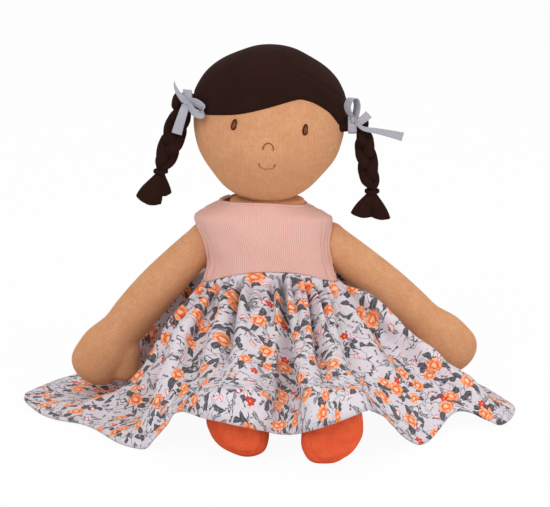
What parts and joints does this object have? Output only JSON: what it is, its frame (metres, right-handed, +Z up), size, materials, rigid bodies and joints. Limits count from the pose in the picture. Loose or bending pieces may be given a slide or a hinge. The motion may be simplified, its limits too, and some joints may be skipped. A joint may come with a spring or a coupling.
{
  "type": "heat pack doll",
  "caption": "Seated stuffed cloth doll in a gathered dress, with turning head, hinged braids, arms and legs, and a removable heat pack in a back pocket.",
  "frame": {"origin": "middle of the seat, on the surface that the doll sits on", "axes": "+Z up, the doll faces -Y, its left side is +X"},
  "size_m": [0.3467, 0.2916, 0.259],
  "materials": {
    "skin_velour": "soft short-pile velour",
    "hair_velour": "soft short-pile velour",
    "thread": "embroidery thread",
    "ribbon": "woven ribbon with a slight sheen",
    "pink_rib": "fine ribbed velour",
    "printed_cotton": "thin printed cotton",
    "shoe_velour": "soft short-pile velour",
    "pack_cotton": "plain woven cotton",
    "hook_and_loop": "nylon hook-and-loop tape"
  },
  "bodies": {
    "torso": {"torso": "skin_velour", "pocket_lining": "pack_cotton", "pocket_loop_tape": "hook_and_loop", "bodice": "pink_rib", "skirt": "printed_cotton"},
    "neck": {"neck": "skin_velour"},
    "head": {"head": "skin_velour", "hair_cap": "hair_velour", "eye_right": "thread", "eye_left": "thread", "nose_stitch": "thread", "mouth_stitch": "thread", "hair_root_right": "hair_velour", "hair_root_left": "hair_velour", "ribbon_right": "ribbon", "ribbon_left": "ribbon"},
    "braid_right": {"braid_gather_right": "hair_velour", "braid_tie_right": "hair_velour", "braid_strand_right_1": "hair_velour", "braid_strand_right_2": "hair_velour", "braid_strand_right_3": "hair_velour"},
    "braid_left": {"braid_gather_left": "hair_velour", "braid_tie_left": "hair_velour", "braid_strand_left_1": "hair_velour", "braid_strand_left_2": "hair_velour", "braid_strand_left_3": "hair_velour"},
    "arm_right": {"arm_right": "skin_velour"},
    "arm_left": {"arm_left": "skin_velour"},
    "leg_right": {"leg_right": "skin_velour", "shoe_right": "shoe_velour"},
    "leg_left": {"leg_left": "skin_velour", "shoe_left": "shoe_velour"},
    "heat_pack": {"heat_pack": "pack_cotton", "heat_pack_tab": "ribbon"},
    "pocket_flap": {"pocket_flap": "skin_velour", "flap_hook_tape": "hook_and_loop"},
    "dress_back_left": {"dress_back_left": "pink_rib", "dress_hook_tape": "hook_and_loop"},
    "dress_back_right": {"dress_back_right": "pink_rib", "dress_loop_tape": "hook_and_loop"}
  },
  "joints": [
    {"name": "head_turn", "type": "hinge", "parent": "torso", "child": "neck", "pos_m": [-0.002, 0, 0.15], "axis": [0, 0, 1], "range_deg": [-25, 25]},
    {"name": "head_nod", "type": "hinge", "parent": "neck", "child": "head", "pos_m": [-0.002, 0, 0.15], "axis": [1, 0, 0], "range_deg": [-6, 6]},
    {"name": "braid_right_swing", "type": "hinge", "parent": "head", "child": "braid_right", "pos_m": [-0.0628, -0.012, 0.222], "axis": [1, 0, 0], "range_deg": [-5, 60]},
    {"name": "braid_left_swing", "type": "hinge", "parent": "head", "child": "braid_left", "pos_m": [0.0628, -0.012, 0.204], "axis": [1, 0, 0], "range_deg": [-30, 60]},
    {"name": "arm_right_raise", "type": "hinge", "parent": "torso", "child": "arm_right", "pos_m": [-0.046, 0.006, 0.1165], "axis": [0, 1, 0], "range_deg": [0, 30]},
    {"name": "arm_left_raise", "type": "hinge", "parent": "torso", "child": "arm_left", "pos_m": [0.042, 0.006, 0.1165], "axis": [0, -1, 0], "range_deg": [0, 20]},
    {"name": "leg_right_drop", "type": "hinge", "parent": "torso", "child": "leg_right", "pos_m": [-0.022, -0.012, 0.0174], "axis": [1, 0, 0], "range_deg": [0, 90]},
    {"name": "leg_left_drop", "type": "hinge", "parent": "torso", "child": "leg_left", "pos_m": [0.022, -0.012, 0.0174], "axis": [1, 0, 0], "range_deg": [0, 90]},
    {"name": "heat_pack_slide", "type": "slide", "parent": "torso", "child": "heat_pack", "axis": [0, 1, 0], "range_m": [0, 0.025]},
    {"name": "pocket_flap_open", "type": "hinge", "parent": "torso", "child": "pocket_flap", "pos_m": [0, 0.032, 0.0108], "axis": [-1, 0, 0], "range_deg": [0, 100]},
    {"name": "dress_back_left_open", "type": "hinge", "parent": "torso", "child": "dress_back_left", "pos_m": [0.0344, 0.0212, 0.11], "axis": [0, 0, -1], "range_deg": [0, 80]},
    {"name": "dress_back_right_open", "type": "hinge", "parent": "torso", "child": "dress_back_right", "pos_m": [-0.0358, 0.022, 0.11], "axis": [-0.0795, -0.0696, 0.9944], "range_deg": [0, 44]}
  ],
  "couplings": [
    {"joint": "pocket_flap_open", "follows": "heat_pack_slide", "rad_per_m": 69},
    {"joint": "dress_back_right_open", "follows": "dress_back_left_open", "ratio": 0.55}
  ]
}
